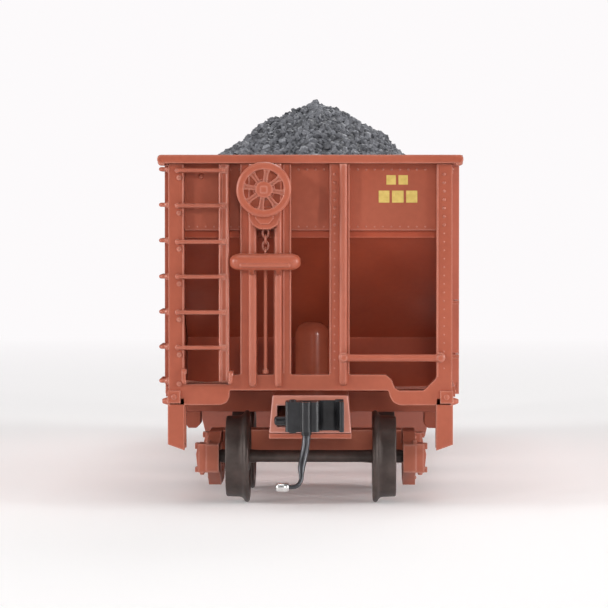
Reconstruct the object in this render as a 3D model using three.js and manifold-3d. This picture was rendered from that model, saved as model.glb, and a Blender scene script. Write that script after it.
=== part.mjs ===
// HO scale (1:87.1) open-top two-bay hopper car with a removable coal load.
// Millimetres. X is across the car, Y along it (the hand-brake end is at -Y), Z up.
// Pieces are drawn at their height above the rail top, then lifted by the flange
// depth, so that z = 0 is the bottom of the wheel flanges.
import * as THREE from 'three';
import { mergeVertices } from 'three/addons/utils/BufferGeometryUtils.js';
import Module from 'manifold-3d';

const wasm = await Module();
wasm.setup();

// ---- driving dimensions ----------------------------------------------------
const FLANGE = 0.64;            // flange depth below the tread
const END = 62;                 // half length over the end posts
const HALF_W = 16.5;            // half width over the side sheets
const RIM_HALF_W = 17.75;       // half width over the top chord
const RIM_TOP = 40.4;
const RIM_LOW = 39.4;
const SHEET = 0.9;              // thickness of a side sheet
const SILL_LOW = 12.2;          // lower edge of the side sheets
const TRUCK_Y = 44.6;           // truck centre from the middle of the car
const WHEELBASE = 19.8;
const TREAD_R = 4.81;           // 33 inch wheel
const BACK_TO_BACK = 14.5;
const WHEEL_W = 2.8;
const AXLE_R = 0.8;
const AXLE_HALF = 12.75;
const PIVOT_Y = 54.5;           // coupler pivot from the middle of the car
const SLOPE_TOP = [-59.65, 32.27];   // slope sheet, inner face, upper end
const SLOPE_LOW = [-27.0, 12.2];     // slope sheet, inner face, lower end
const POST_PITCH = 11.75;
const GAP = 0.05;

// ---- materials -------------------------------------------------------------
const paint = () => new THREE.MeshStandardMaterial({ color: 0xab5c45, roughness: 0.55, metalness: 0.0 });
const wheelMetal = () => new THREE.MeshStandardMaterial({ color: 0x4e4441, roughness: 0.45, metalness: 0.6 });
const blackMetal = () => new THREE.MeshStandardMaterial({ color: 0x28282b, roughness: 0.4, metalness: 0.5 });
const steel = () => new THREE.MeshStandardMaterial({ color: 0x8f8c8a, roughness: 0.35, metalness: 0.9 });
const coal = () => new THREE.MeshStandardMaterial({ color: 0x4a4b51, roughness: 0.7, metalness: 0.0 });
const casting = () => new THREE.MeshStandardMaterial({ color: 0x9c5440, roughness: 0.6, metalness: 0.2 });

// ---- geometry helpers ------------------------------------------------------
function solid(geometry) {
  let g = geometry.clone();
  g.deleteAttribute('normal');
  g.deleteAttribute('uv');
  g = mergeVertices(g, 1e-4);
  const tris = [];
  const ix = g.index.array;
  for (let i = 0; i < ix.length; i += 3) {
    if (ix[i] !== ix[i + 1] && ix[i + 1] !== ix[i + 2] && ix[i] !== ix[i + 2]) tris.push(ix[i], ix[i + 1], ix[i + 2]);
  }
  let m = new wasm.Manifold(new wasm.Mesh({
    numProp: 3, vertProperties: new Float32Array(g.attributes.position.array), triVerts: new Uint32Array(tris),
  }));
  if (m.volume() < 0) {
    for (let i = 0; i < tris.length; i += 3) [tris[i], tris[i + 1]] = [tris[i + 1], tris[i]];
    m = new wasm.Manifold(new wasm.Mesh({
      numProp: 3, vertProperties: new Float32Array(g.attributes.position.array), triVerts: new Uint32Array(tris),
    }));
  }
  return m;
}
function geometryOf(m) {
  const mesh = m.getMesh();
  const g = new THREE.BufferGeometry();
  g.setAttribute('position', new THREE.BufferAttribute(new Float32Array(mesh.vertProperties), 3));
  g.setIndex(new THREE.BufferAttribute(new Uint32Array(mesh.triVerts), 1));
  g.computeVertexNormals();
  return g;
}
const join = (...list) => list.flat().reduce((a, b) => a.add(b));
const cut = (a, ...list) => list.flat().reduce((m, b) => m.subtract(b), a);
function box(x0, x1, y0, y1, z0, z1) {
  const g = new THREE.BoxGeometry(Math.abs(x1 - x0), Math.abs(y1 - y0), Math.abs(z1 - z0));
  g.translate((x0 + x1) / 2, (y0 + y1) / 2, (z0 + z1) / 2);
  return solid(g);
}
function outline(points) {
  const s = new THREE.Shape();
  points.forEach(([u, v], i) => (i ? s.lineTo(u, v) : s.moveTo(u, v)));
  s.closePath();
  return s;
}
const extrude = (points, depth) =>
  new THREE.ExtrudeGeometry(outline(points), { depth, bevelEnabled: false, curveSegments: 8 });
// outline in X,Z, thick along Y from y0 to y1
function plateXZ(points, y0, y1) {
  const g = extrude(points, y1 - y0);
  g.rotateX(Math.PI / 2);
  g.translate(0, y1, 0);
  return solid(g);
}
// outline in Y,Z, thick along X from x0 to x1
function plateYZ(points, x0, x1) {
  const g = extrude(points, x1 - x0);
  g.applyMatrix4(new THREE.Matrix4().makeBasis(
    new THREE.Vector3(0, 1, 0), new THREE.Vector3(0, 0, 1), new THREE.Vector3(1, 0, 0)));
  g.translate(x0, 0, 0);
  return solid(g);
}
// outline in X,Y, thick along Z
function plateXY(points, z0, z1) {
  const g = extrude(points, z1 - z0);
  g.translate(0, 0, z0);
  return solid(g);
}
function rod(p, q, r, seg = 8) {
  const a = new THREE.Vector3(...p), b = new THREE.Vector3(...q);
  const g = new THREE.CylinderGeometry(r, r, a.distanceTo(b), seg);
  g.rotateY(Math.PI / seg);
  g.applyQuaternion(new THREE.Quaternion().setFromUnitVectors(
    new THREE.Vector3(0, 1, 0), b.clone().sub(a).normalize()));
  g.translate((p[0] + q[0]) / 2, (p[1] + q[1]) / 2, (p[2] + q[2]) / 2);
  return solid(g);
}
function cone(p, q, r0, r1, seg = 12) {
  const a = new THREE.Vector3(...p), b = new THREE.Vector3(...q);
  const g = new THREE.CylinderGeometry(r1, r0, a.distanceTo(b), seg);
  g.applyQuaternion(new THREE.Quaternion().setFromUnitVectors(
    new THREE.Vector3(0, 1, 0), b.clone().sub(a).normalize()));
  g.translate((p[0] + q[0]) / 2, (p[1] + q[1]) / 2, (p[2] + q[2]) / 2);
  return solid(g);
}
const turned = (m) => m.rotate([0, 0, 180]);   // brake end piece -> other end

const car = new THREE.Group();
car.name = 'hopper_car';
car.position.z = FLANGE;
function add(name, m, material) {
  const mesh = new THREE.Mesh(geometryOf(m), material);
  mesh.name = name;
  car.add(mesh);
}

// ---- body sides ------------------------------------------------------------
// Left side: ladder at the brake end, two grab irons at the far end.
function bodySide() {
  const X = -HALF_W, IN = X + SHEET;
  const parts = [
    box(X, IN, -END + 1.5, END - 1.5, SILL_LOW, 39.35),
    box(-RIM_HALF_W, IN, -59.65, 59.65, 39.3, RIM_TOP),
    box(X - 0.4, X + 0.2, -END + 1.6, END - 1.6, SILL_LOW, 13.4),
    box(IN - 0.1, IN + 0.6, -58, 58, 36.3, 37.0),
  ];
  for (let i = -4; i <= 4; i++) {
    const y = i * POST_PITCH;
    parts.push(plateXY([[X + 0.3, y - 0.85], [X + 0.3, y + 0.85], [X - 1.2, y + 0.5], [X - 1.2, y - 0.5]].reverse(), 11.8, 39.4));
  }
  for (const z of [23.2, 16.9]) {
    parts.push(box(X - 0.85, X - 0.45, 54.6, 60.2, z - 0.2, z + 0.2));
    parts.push(box(X - 0.6, X + 0.2, 54.6, 55.1, z - 0.2, z + 0.2));
    parts.push(box(X - 0.6, X + 0.2, 59.7, 60.2, z - 0.2, z + 0.2));
  }
  return join(parts);
}
const side = bodySide();
add('side_left', side, paint());
add('side_right', turned(side), paint());

// ---- end sheet with its rim ------------------------------------------------
const endSheet = join(
  box(-15.5, 15.5, -60.5, -59.7, 31.6, 39.6),
  plateXZ([[-17.75, 39.65], [-17.5, RIM_LOW], [17.5, RIM_LOW], [17.75, 39.65], [17.75, 40.15], [17.5, RIM_TOP],
    [-17.5, RIM_TOP], [-17.75, 40.15]], -63.0, -59.7),
);
add('end_sheet_b', endSheet, paint());
add('end_sheet_a', turned(endSheet), paint());

// ---- slope sheet, with the cross web under it ------------------------------
const slope = (SLOPE_TOP[1] - SLOPE_LOW[1]) / (SLOPE_LOW[0] - SLOPE_TOP[0]);
const drop = 0.94;              // vertical thickness of the sloping sheet
const slopeSheet = join(
  plateYZ([[SLOPE_TOP[0], SLOPE_TOP[1]], [SLOPE_TOP[0], SLOPE_TOP[1] - drop],
    [SLOPE_LOW[0] - drop / slope, SLOPE_LOW[1]], [SLOPE_LOW[0], SLOPE_LOW[1]]], -15.5, 15.5),
  box(-15.5, 15.5, -59.65, -58.9, 30.75, 31.5),
  box(-15.5, 15.5, -38.4, -37.6, SILL_LOW, 18.5),
);
add('slope_sheet_b', slopeSheet, paint());
add('slope_sheet_a', turned(slopeSheet), paint());

// ---- end frame: corner posts, sill, posts, sill steps ----------------------
function rib(x0, x1, z0, y0, y1) {
  const r = (x1 - x0) / 2;
  return plateXZ([[x0, z0 + r], [x0 + 0.3 * r, z0 + 0.3 * r], [x0 + r, z0], [x1 - 0.3 * r, z0 + 0.3 * r], [x1, z0 + r],
    [x1, 39.35], [x0, 39.35]], y0, y1);
}
function endFrame(brake) {
  const T = 39.35, F = -END, B = -60.55;
  const leftPosts = brake
    ? [[-2.27, 14.85], [-2.27, T], [-4.25, T], [-4.25, 14.85], [-6.2, 14.85], [-6.2, T], [-8.1, T], [-8.1, 14.85]]
    : [[-2.27, 14.85], [-2.27, T], [-4.34, T], [-4.34, 14.85]];
  const plate = plateXZ([
    [-16.5, 11.3], [-10.4, 11.3], [-9.7, 11.6], [-9.4, 12.3], [-9.4, 13.0], [9.1, 13.0], [9.3, 12.2], [9.7, 11.6],
    [10.4, 11.3], [16.5, 11.3], [16.5, T], [14.65, T], [14.65, 14.45], [13.2, 13.0], [10.3, 13.0], [9.8, 13.3],
    [9.5, 14.2], [8.8, 14.85], [4.52, 14.85], [4.52, T], [2.27, T], [2.27, 14.85], ...leftPosts,
    [-9.3, 14.85], [-9.3, 13.75], [-14.65, 13.75], [-14.65, T], [-16.5, T]], F, B);
  const parts = [plate, rib(3.34, 4.34, 13.6, F - 0.9, F + 0.3)];
  if (brake) parts.push(rib(-7.19, -6.2, 13.4, F - 0.9, F + 0.3), rib(-4.15, -3.27, 13.4, F - 0.9, F + 0.3));
  else parts.push(rib(-4.34, -3.34, 13.6, F - 0.9, F + 0.3));
  for (const s of [-1, 1]) {
    parts.push(box(s * 15.1, s * 16.6, F - 0.4, F + 0.2, 11.5, 13.0));
    parts.push(cone([s * 16.3, F + 0.3, 11.75], [s * 17.25, F + 0.3, 11.75], 0.55, 0.2, 8));
    const bar = plateXZ(s < 0
      ? [[-16.6, 6.7], [-14.65, 6.0], [-14.65, 12.1], [-16.6, 12.1]]
      : [[14.65, 6.0], [16.6, 6.7], [16.6, 12.1], [14.65, 12.1]], F, -57.2);
    parts.push(cut(bar, box(s * 14, s * 17, -61.35, -57.8, 6.75, 12.5)));
  }
  return join(parts);
}
add('end_frame_b', endFrame(true), paint());
add('end_frame_a', turned(endFrame(false)), paint());

// ---- underframe: centre sill and body bolsters (one heavy casting) ----------
function underframe() {
  const parts = [box(-2.6, 2.6, -41, 41, 8.6, 12.1)];
  const cuts = [];
  for (const s of [-1, 1]) {
    const y = s * TRUCK_Y;
    parts.push(box(-2.6, 2.6, s * 40.9, s * 51.8, 9.6, 12.1));
    parts.push(box(-15.4, 15.4, y - 2.2, y + 2.2, 9.6, 12.1));
    for (const t of [-1, 1]) {
      const pts = [[13.5, 9.7], [13.5, 8.1], [14.0, 7.6], [15.0, 7.6], [15.4, 8.2], [15.4, 9.7]].map(([x, z]) => [t * x, z]);
      parts.push(plateXZ(t > 0 ? pts : pts.reverse(), y - 1.9, y + 1.9));
    }
    cuts.push(rod([0, y, 9.0], [0, y, 11.6], 0.78, 12));
  }
  return cut(join(parts), cuts);
}
add('underframe', underframe(), casting());

// ---- hopper bays and their doors -------------------------------------------
const bayTop = 12.15;
function hopperBay() {
  const outerYZ = [[-28.45, bayTop], [-16.0, 4.5], [-14.4, 4.5], [-10.6, 9.6], [-10.6, bayTop]];
  const innerYZ = [[-27.0, 12.3], [-15.6, 5.19], [-13.0, 5.19], [-9.5, 9.9], [-11.4, 9.9], [-11.4, 12.3]];
  const shell = plateYZ(outerYZ, -15.5, 15.5).intersect(
    plateXZ([[-14.2, 4.5], [14.2, 4.5], [15.4, bayTop], [-15.4, bayTop]], -30, -10));
  const hollow = plateYZ(innerYZ, -15, 15);
  const chutes = [
    hollow.intersect(plateXZ([[3.6, 4.4], [13.4, 4.4], [14.6, 12.4], [3.6, 12.4]], -30, -9)),
    hollow.intersect(plateXZ([[-13.4, 4.4], [-3.6, 4.4], [-3.6, 12.4], [-14.6, 12.4]], -30, -9)),
    hollow.intersect(box(-2.7, 2.7, -30, -9, 4, 12.4)),
  ];
  return cut(shell, chutes, box(-2.7, 2.7, -30, -9, 8.4, 12.4));
}
const bay = hopperBay();
add('hopper_bay_b', bay, paint());
add('hopper_bay_a', turned(bay), paint());

function hopperDoor(s) {
  const n = [0.8019, -0.5975], e = [0.5975, 0.8019];
  const at = (k, t) => [-14.4 + e[0] * k + n[0] * t, 4.5 + e[1] * k + n[1] * t];
  const slab = (k0, k1, t0, t1, x0, x1) =>
    plateYZ([at(k0, t0), at(k0, t1), at(k1, t1), at(k1, t0)], s < 0 ? -x1 : x0, s < 0 ? -x0 : x1);
  return join(
    slab(-0.35, 6.3, 0.05, 0.65, 2.95, 13.75),
    slab(0.4, 5.6, 0.5, 1.1, 4.2, 4.9), slab(0.4, 5.6, 0.5, 1.1, 11.8, 12.5),
    slab(-0.6, 0.3, 0.05, 1.2, 7.6, 9.1),
    rod([s * 3.4, ...at(6.05, 0.75)], [s * 5.2, ...at(6.05, 0.75)], 0.45, 8),
    rod([s * 11.5, ...at(6.05, 0.75)], [s * 13.3, ...at(6.05, 0.75)], 0.45, 8),
  );
}
for (const [side_, s] of [['left', -1], ['right', 1]]) {
  add(`door_b_${side_}`, hopperDoor(s), paint());
  add(`door_a_${side_}`, turned(hopperDoor(-s)), paint());
}

// ---- ridge between the two bays --------------------------------------------
add('centre_ridge', plateYZ([[-11.9, SILL_LOW], [-10.7, SILL_LOW], [0, 20.4], [10.7, SILL_LOW], [11.9, SILL_LOW], [0, 21.5]],
  -15.5, 15.5), paint());

// ---- ladders and grab irons ------------------------------------------------
function endLadder() {
  const parts = [
    box(-10.58, -9.42, -62.4, -61.9, 13.85, 39.3),
    box(-9.85, -9.42, -62.1, -60.65, 13.85, 39.3),
    box(-14.6, -8.95, -63.45, -62.95, 13.75, 14.25),
    box(-15.0, -14.35, -63.45, -62.03, 13.75, 15.5),
    box(-9.6, -8.95, -63.45, -62.03, 13.75, 15.3),
  ];
  for (const z of [38.6, 34.5, 30.3, 26.25, 22.1, 18.0]) {
    parts.push(box(-15.7, -9.7, -62.85, -62.35, z - 0.25, z + 0.25));
    parts.push(box(-15.7, -15.15, -62.7, -62.03, z - 0.3, z + 0.3));
  }
  return join(parts, box(-14.9, -14.35, -62.7, -62.03, 15.4, 18.0));
}
add('end_ladder_b', endLadder(), paint());
add('end_ladder_a', turned(endLadder()), paint());

function sideLadder() {
  const parts = [box(-17.3, -16.55, -56.3, -55.5, 13.5, 39.2)];
  for (const z of [38.74, 34.6, 30.46, 26.25, 22.15, 18.06, 14.1]) {
    parts.push(box(-17.65, -17.15, -61.7, -55.8, z - 0.25, z + 0.25));
    parts.push(box(-17.3, -16.55, -61.7, -61.2, z - 0.25, z + 0.25));
  }
  return join(parts);
}
add('side_ladder_b', sideLadder(), paint());
add('side_ladder_a', turned(sideLadder()), paint());

const grab = join(
  box(3.5, 15.5, -63.95, -63.2, 16.5, 17.25),
  box(3.5, 4.3, -63.3, -62.95, 16.45, 17.3),
  box(14.7, 15.5, -63.3, -62.03, 16.45, 17.3),
);
add('end_grab_b', grab, paint());
add('end_grab_a', turned(grab), paint());

// ---- hand brake ------------------------------------------------------------
const BW = [-5.28, 36.35];      // brake wheel centre, X and Z
add('brake_housing', join(
  plateXZ([[-7.1, 39.1], [-7.1, 33.2], [-6.6, 32.2], [-5.8, 31.75], [-4.6, 31.75], [-3.8, 32.2], [-3.35, 33.2],
    [-3.35, 39.1]], -64.7, -62.95),
  rod([BW[0], -64.6, BW[1]], [BW[0], -65.2, BW[1]], 1.1, 12),
), paint());
function brakeWheel() {
  const ring = new THREE.LatheGeometry([[2.24, -0.28], [3.12, -0.32], [3.18, 0], [3.12, 0.32], [2.24, 0.28], [2.24, -0.28]]
    .map(([r, y]) => new THREE.Vector2(r, y)), 24);
  ring.translate(BW[0], 0, 0);
  const parts = [solid(ring)];
  parts.push(rod([BW[0], 0.75, 0], [BW[0], -0.35, 0], 0.5, 8));
  parts.push(rod([BW[0], 0.3, 0], [BW[0], -0.4, 0], 1.12, 12));
  for (let k = 0; k < 4; k++) {
    const g = new THREE.BoxGeometry(4.8, 0.4, 0.5);
    g.rotateY(-(81 + 45 * k) * Math.PI / 180);
    g.translate(BW[0], 0, 0);
    parts.push(solid(g));
  }
  return join(parts).translate([0, -66.0, BW[1]]);
}
add('brake_wheel', brakeWheel(), paint());
const chain = [rod([-5.2, -62.2, 14.95], [-5.2, -62.2, 31.6], 0.22, 6)];
for (let i = 0; i < 6; i++) {
  const z = 31.1 - i * 0.85;
  chain.push(i % 2 ? box(-5.4, -5.0, -62.65, -61.75, z - 0.5, z + 0.5) : box(-5.65, -4.75, -62.4, -62.0, z - 0.5, z + 0.5));
}
add('brake_chain', join(chain), paint());
add('brake_step', join(
  plateYZ([[-62.95, 28.8], [-62.95, 27.0], [-64.7, 27.0], [-65.3, 27.25], [-65.6, 27.9], [-65.3, 28.55], [-64.7, 28.8]].reverse(),
    -8.6, -1.75),
  plateYZ([[-62.95, 28.45], [-62.95, 27.35], [-64.6, 27.35], [-65.1, 27.9], [-64.6, 28.45]].reverse(), -9.25, -1.1),
), paint());
add('brake_cylinder', join(
  rod([0, -47.5, 12.15], [0, -47.5, 19.4], 2.05, 16), cone([0, -47.5, 19.35], [0, -47.5, 20.5], 1.95, 1.1, 16),
  rod([0, -47.5, 12.15], [0, -47.5, 12.9], 2.35, 16),
), paint());

// ---- couplers and draft boxes ----------------------------------------------
const boxBody = join(
  cut(plateXZ([[-4.78, 8.05], [4.78, 8.05], [4.4, 12.45], [-4.4, 12.45]], -62.4, -51.9),
    box(-3.9, 3.9, -61.6, -52.6, 7.9, 11.3),
    box(-3.85, 3.85, -62.6, -61.5, 8.8, 11.25)),
  rod([0, -PIVOT_Y, 8.05], [0, -PIVOT_Y, 11.5], 0.8, 12),
);
const draftBox = cut(boxBody, rod([0, -PIVOT_Y, 7.9], [0, -PIVOT_Y, 10.9], 0.42, 8));
const boxCover = cut(box(-4.8, 4.8, -62.15, -51.9, 7.4, 8.0), rod([0, -PIVOT_Y, 7.2], [0, -PIVOT_Y, 8.2], 0.5, 8));
const boxScrew = join(
  cut(rod([0, -PIVOT_Y, 6.85], [0, -PIVOT_Y, 7.35], 1.0, 16), box(-0.12, 0.12, -PIVOT_Y - 1.2, -PIVOT_Y + 1.2, 6.8, 7.05)),
  rod([0, -PIVOT_Y, 7.3], [0, -PIVOT_Y, 10.7], 0.35, 8));
const HEAD = [8.55, 12.05], KNUCKLE = [-1.95, -67.0];
const coupler = (() => {
  const parts = [
    box(-1.25, 1.25, -64.6, -55.6, 8.95, 11.05),
    rod([0, -PIVOT_Y, 8.95], [0, -PIVOT_Y, 11.05], 1.7, 16),
    plateXY([[-2.8, -66.15], [0.9, -66.1], [2.7, -65.9], [3.3, -66.5], [3.4, -68.4], [3.95, -68.4], [3.95, -65.1], [3.2, -64.3],
      [-2.0, -64.3], [-2.8, -65.0]], ...HEAD),
    box(-4.1, -2.7, -65.9, -65.0, 9.15, 10.25),
    box(-1.0, 0.2, -66.05, -65.0, 8.0, 8.7),
  ];
  for (const [z0, z1] of [[HEAD[0], 9.1], [11.5, HEAD[1]]]) {
    parts.push(rod([...KNUCKLE, z0], [...KNUCKLE, z1], 0.85, 16), box(-2.8, -1.1, -67.0, -66.0, z0, z1));
  }
  return cut(join(parts), rod([0, -PIVOT_Y, 8], [0, -PIVOT_Y, 12], 0.98, 16));
})();
const knuckle = join(
  rod([...KNUCKLE, 9.15], [...KNUCKLE, 11.45], 0.72, 16),
  box(-2.45, -1.45, -68.3, -67.1, 9.15, 11.45),
  cut(plateXY([[-2.75, -67.78], [-2.75, -68.2], [-2.5, -68.45], [-0.98, -68.45], [-0.8, -68.78], [-0.4, -68.9], [0.0, -68.78], [0.18, -68.45],
    [0.75, -68.4], [1.15, -68.05],
    [1.1, -67.3], [0.75, -66.95], [0.35, -67.15], [0.2, -67.75], [-0.5, -67.95], [-1.1, -67.78]], HEAD[0] + 0.03, HEAD[1] - 0.03),
  rod([...KNUCKLE, 8], [...KNUCKLE, 13], 0.95, 24)),
);
const pinPath = new THREE.CatmullRomCurve3([
  [-0.4, -65.5, 8.4], [-0.5, -65.65, 6.8], [-0.7, -66.1, 5.2], [-0.95, -66.9, 3.6], [-1.5, -67.5, 2.5], [-3.1, -67.9, 2.2],
].map((p) => new THREE.Vector3(...p)));
const circle = (r, n) => {
  const s = new THREE.Shape();
  for (let i = 0; i < n; i++) {
    const a = 2 * Math.PI * (i + 0.5) / n;
    if (i) s.lineTo(r * Math.cos(a), r * Math.sin(a)); else s.moveTo(r * Math.cos(a), r * Math.sin(a));
  }
  s.closePath();
  return s;
};
const tripPin = join(
  cut(solid(new THREE.ExtrudeGeometry(circle(0.42, 6), { steps: 10, bevelEnabled: false, extrudePath: pinPath })),
    box(-2, 2, -67, -63, 7.95, 9)),
  rod([-2.5, -67.82, 2.22], [-3.8, -68.0, 2.18], 0.52, 8),
);
for (const [end, put] of [['b', (m) => m], ['a', turned]]) {
  add(`draft_box_${end}`, put(draftBox), paint());
  add(`box_cover_${end}`, put(boxCover), paint());
  add(`box_screw_${end}`, put(boxScrew), blackMetal());
  add(`coupler_${end}`, put(coupler), blackMetal());
  add(`knuckle_${end}`, put(knuckle), blackMetal());
  add(`trip_pin_${end}`, put(tripPin), steel());
}

// ---- trucks ----------------------------------------------------------------
// Drawn about the truck centre, then moved to its place.
const HALF_B = WHEELBASE / 2;
function sideframe() {
  const half = [[4.2, 7.3], [7.6, 6.35], [11.9, 6.25], [11.9, 3.1], [8.3, 3.0], [4.3, 0.95]];
  const frame = plateYZ([...half, ...half.slice().reverse().map(([y, z]) => [-y, z])].reverse(), 10.9, 12.4);
  const holes = [plateYZ([[-2.7, 2.2], [2.7, 2.2], [2.7, 6.1], [-2.7, 6.1]], 10, 13)];
  for (const s of [-1, 1]) {
    const p = [[3.7, 2.9], [7.4, 4.15], [7.4, 5.3], [3.7, 6.2]].map(([y, z]) => [s * y, z]);
    holes.push(plateYZ(s > 0 ? p : p.reverse(), 10, 13));
  }
  const parts = [cut(frame, holes)];
  for (const s of [-1, 1]) {
    parts.push(box(10.9, 13.3, s * 8.3, s * 11.5, 2.95, 6.35));
    parts.push(box(13.2, 13.75, s * 9.0, s * 10.8, 5.7, 6.35));
    parts.push(box(13.2, 13.75, s * 9.0, s * 10.8, 2.95, 3.5));
  }
  return cut(join(parts), [-1, 1].map((s) =>
    cone([10.8, s * HALF_B, TREAD_R], [13.05, s * HALF_B, TREAD_R], 0.94, 0.02, 16)));
}
const bolster = cut(join(
  box(-10.8, 10.8, -2.3, 2.3, 4.3, 7.4),
  box(-12.7, 12.7, -2.3, 2.3, 4.3, 5.9),
  rod([0, 0, 7.2], [0, 0, 9.5], 2.4, 16),
), rod([0, 0, 4], [0, 0, 10], 0.95, 12));
const kingpin = join(rod([0, 0, 3.65], [0, 0, 4.2], 1.5, 16), rod([0, 0, 4.1], [0, 0, 11.3], 0.7, 12));
const N = 20;                   // facets round a wheel, one of them straight down
const flat = TREAD_R + FLANGE;
function wheel() {
  const pts = [[0.86, 0], [5.2, 0], [flat / Math.cos(Math.PI / N), 0.25], [flat / Math.cos(Math.PI / N), 0.55], [4.88, 0.9], [4.78, 2.8], [4.0, 2.8],
    [3.7, 2.2], [1.7, 2.2], [1.5, 2.8], [0.86, 2.8], [0.86, 0]];
  const g = new THREE.LatheGeometry(pts.map(([r, y]) => new THREE.Vector2(r, y)), N);
  g.rotateY(Math.PI / N);
  g.rotateZ(-Math.PI / 2);
  return solid(g);              // runs from x = 0 (flange side) to x = 2.8
}
function axle() {
  const pts = [[0, -AXLE_HALF], [AXLE_R, -10.6], [AXLE_R, 10.6], [0, AXLE_HALF]];
  const g = new THREE.LatheGeometry(pts.map(([r, y]) => new THREE.Vector2(r, y)), 12);
  g.rotateZ(-Math.PI / 2);
  return solid(g);
}
const frameRight = sideframe(), wheelSolid = wheel(), axleSolid = axle();
for (const [end, sign] of [['b', -1], ['a', 1]]) {
  const y = sign * TRUCK_Y;
  add(`truck_bolster_${end}`, bolster.translate([0, y, 0]), paint());
  add(`kingpin_screw_${end}`, kingpin.translate([0, y, 0]), steel());
  add(`sideframe_${end}_right`, frameRight.translate([0, y, 0]), paint());
  add(`sideframe_${end}_left`, frameRight.rotate([0, 0, 180]).translate([0, y, 0]), paint());
  for (const [k, off] of [[1, sign * HALF_B], [2, -sign * HALF_B]]) {
    add(`axle_${end}${k}`, axleSolid.translate([0, y + off, TREAD_R]), wheelMetal());
    add(`wheel_${end}${k}_right`, wheelSolid.translate([BACK_TO_BACK / 2, y + off, TREAD_R]), wheelMetal());
    add(`wheel_${end}${k}_left`, wheelSolid.rotate([0, 0, 180]).translate([-BACK_TO_BACK / 2, y + off, TREAD_R]), wheelMetal());
  }
}

// ---- coal load: an insert heaped over both bays -----------------------------
function coalLoad() {
  const X = 15.4, Y = 59.4, nx = 14, ny = 36, low = 37.05;
  // crest line across the car at the brake-end hump, then the same mirrored at the far hump
  const crest = [[-15.4, 39.3], [-13.2, 39.9], [-11.6, 40.8], [-10.3, 41.8], [-8.8, 42.6], [-7.3, 44.1], [-5.9, 45.1], [-4.2, 45.5],
    [-2.9, 46.3], [-1.4, 46.8], [-0.1, 47.6], [1.4, 46.9], [2.6, 46.6], [4.0, 46.0], [5.0, 45.5], [6.0, 44.7], [7.6, 43.9],
    [8.9, 43.4], [9.5, 42.3], [10.8, 40.9], [12.6, 40.0], [15.4, 39.3]];
  const across = (x) => {
    for (let i = 1; i < crest.length; i++) {
      if (x <= crest[i][0]) {
        const [x0, v0] = crest[i - 1], [x1, v1] = crest[i];
        return v0 + (v1 - v0) * (x - x0) / (x1 - x0) - 39.3;
      }
    }
    return 0;
  };
  const along = (y) => {
    const a = Math.abs(y);
    if (a < 29) return 0.7 + 0.3 * (1 - Math.cos(Math.PI * a / 29)) / 2;
    return Math.max(0, 1 - ((a - 29) / 30.4) ** 1.5);
  };
  const top = (x, y) => {
    const t = Math.min(1, Math.max(0, (y + 20) / 40));
    const k = (across(Math.max(-X, Math.min(X, x))) * (1 - t) + across(Math.max(-X, Math.min(X, -x))) * t) * along(y);
    const rough = 0.3 * Math.sin(1.9 * x + 0.7 * y) * Math.sin(1.3 * y - 0.4 * x) * Math.min(1, Math.abs(y + 29) / 12);
    return 39.3 + k + (k > 0.3 ? rough * Math.min(1, k / 2) : 0);
  };
  const pos = [], tri = [];
  const id = (i, j) => i * (ny + 1) + j;
  for (let i = 0; i <= nx; i++) for (let j = 0; j <= ny; j++) {
    const x = -X + 2 * X * i / nx, y = -Y + 2 * Y * j / ny;
    pos.push(x, y, top(x, y));
  }
  for (let i = 0; i < nx; i++) for (let j = 0; j < ny; j++) {
    tri.push(id(i, j), id(i + 1, j), id(i + 1, j + 1), id(i, j), id(i + 1, j + 1), id(i, j + 1));
  }
  const rim = [];
  for (let i = 0; i < nx; i++) rim.push(id(i, 0));
  for (let j = 0; j < ny; j++) rim.push(id(nx, j));
  for (let i = nx; i > 0; i--) rim.push(id(i, ny));
  for (let j = ny; j > 0; j--) rim.push(id(0, j));
  const first = pos.length / 3;
  for (const v of rim) pos.push(pos[3 * v], pos[3 * v + 1], low);
  const centre = pos.length / 3;
  pos.push(0, 0, low);
  for (let k = 0; k < rim.length; k++) {
    const m = (k + 1) % rim.length;
    tri.push(first + k, first + m, rim[m], first + k, rim[m], rim[k]);
    tri.push(centre, first + m, first + k);
  }
  const g = new THREE.BufferGeometry();
  g.setAttribute('position', new THREE.Float32BufferAttribute(pos, 3));
  g.setIndex(tri);
  return solid(g);
}
add('coal_load', coalLoad(), coal());

export default car;
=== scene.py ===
# Visual model of an HO hopper car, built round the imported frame. Metres, Z up, the hand-brake end at -Y.
import bpy, math, random
from mathutils import Vector, Matrix, noise


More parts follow.
